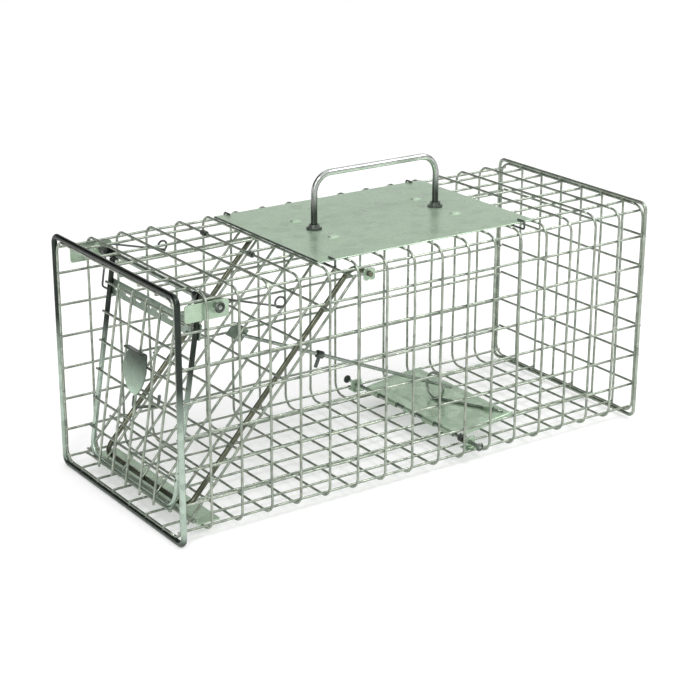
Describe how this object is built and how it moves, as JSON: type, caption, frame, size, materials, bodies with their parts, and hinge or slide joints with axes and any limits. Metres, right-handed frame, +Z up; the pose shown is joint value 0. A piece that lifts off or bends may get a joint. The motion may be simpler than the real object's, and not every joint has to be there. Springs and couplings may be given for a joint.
{
  "type": "live catch trap",
  "caption": "Wire-mesh live catch trap with a sloping door, a sprung lock flap, a treadle and trigger rod, a guard plate and a carry handle.",
  "frame": {"origin": "on the ground under the middle of the cage", "axes": "+X from the entrance to the closed end, +Y to the left seen from the entrance looking in, +Z up"},
  "size_m": [0.4388, 0.189, 0.2304],
  "materials": {
    "mesh_wire": "galvanised",
    "heavy_rod": "galvanised",
    "sheet": "galvanised",
    "handle_rod": "bright zinc",
    "spring_wire": "oiled",
    "fixings": "dark"
  },
  "bodies": {
    "cage": {"front_frame": "heavy_rod", "rear_frame": "heavy_rod", "roof_mesh": "mesh_wire", "floor_mesh": "mesh_wire", "left_wall_mesh": "mesh_wire", "right_wall_mesh": "mesh_wire", "rear_mesh": "mesh_wire", "entrance_sill": "sheet", "guard_plate": "sheet", "guard_plate_clips": "fixings", "carry_handle": "handle_rod", "handle_collars": "fixings", "hoop_sleeves": "fixings", "door_pivot_bracket_left": "sheet", "door_pivot_bracket_right": "sheet", "flap_bracket_left": "sheet", "flap_bracket_right": "sheet", "flap_hinge_rod": "heavy_rod", "flap_rod_caps": "fixings", "spring_left": "spring_wire", "spring_right": "spring_wire", "treadle_axle": "heavy_rod", "treadle_saddle_left": "sheet", "treadle_saddle_right": "sheet", "treadle_axle_caps": "fixings", "treadle_spring": "spring_wire"},
    "door": {"door_frame": "heavy_rod", "door_mesh": "mesh_wire", "door_lower_rod": "heavy_rod", "trigger_lug": "sheet"},
    "lock_flap": {"flap_frame": "heavy_rod", "flap_mesh": "mesh_wire", "flap_top_strip": "sheet", "flap_grip": "sheet", "flap_hook": "fixings", "flap_spring_leg_left": "spring_wire", "flap_spring_leg_right": "spring_wire"},
    "trigger": {"trigger_rod": "heavy_rod", "trigger_stop": "fixings"},
    "treadle": {"treadle_plate": "sheet", "treadle_ring": "heavy_rod", "treadle_ring_clip": "sheet"}
  },
  "joints": [
    {"name": "lock_flap_hinge", "type": "hinge", "parent": "cage", "child": "lock_flap", "pos_m": [-0.18283, 0, 0.17375], "axis": [0, 1, 0], "range_deg": [0, 74], "stiffness_Nm_per_rad": 0.15, "springref_deg": -57.3},
    {"name": "door_hinge", "type": "hinge", "parent": "cage", "child": "door", "pos_m": [-0.0533, 0, 0.17375], "axis": [0, 1, 0], "range_deg": [0, 37]},
    {"name": "trigger_pivot", "type": "hinge", "parent": "door", "child": "trigger", "pos_m": [-0.10918, 0, 0.11243], "axis": [0, 1, 0], "range_deg": [-25, 0]},
    {"name": "treadle_hinge", "type": "hinge", "parent": "cage", "child": "treadle", "pos_m": [0.05085, 0, 0.01398], "axis": [0, 1, 0], "range_deg": [0, 4.5], "stiffness_Nm_per_rad": 0.1, "springref_deg": -17.19}
  ],
  "couplings": [
    {"joint": "door_hinge", "follows": "lock_flap_hinge", "ratio": 0.5},
    {"joint": "trigger_pivot", "follows": "lock_flap_hinge", "ratio": -0.335}
  ]
}
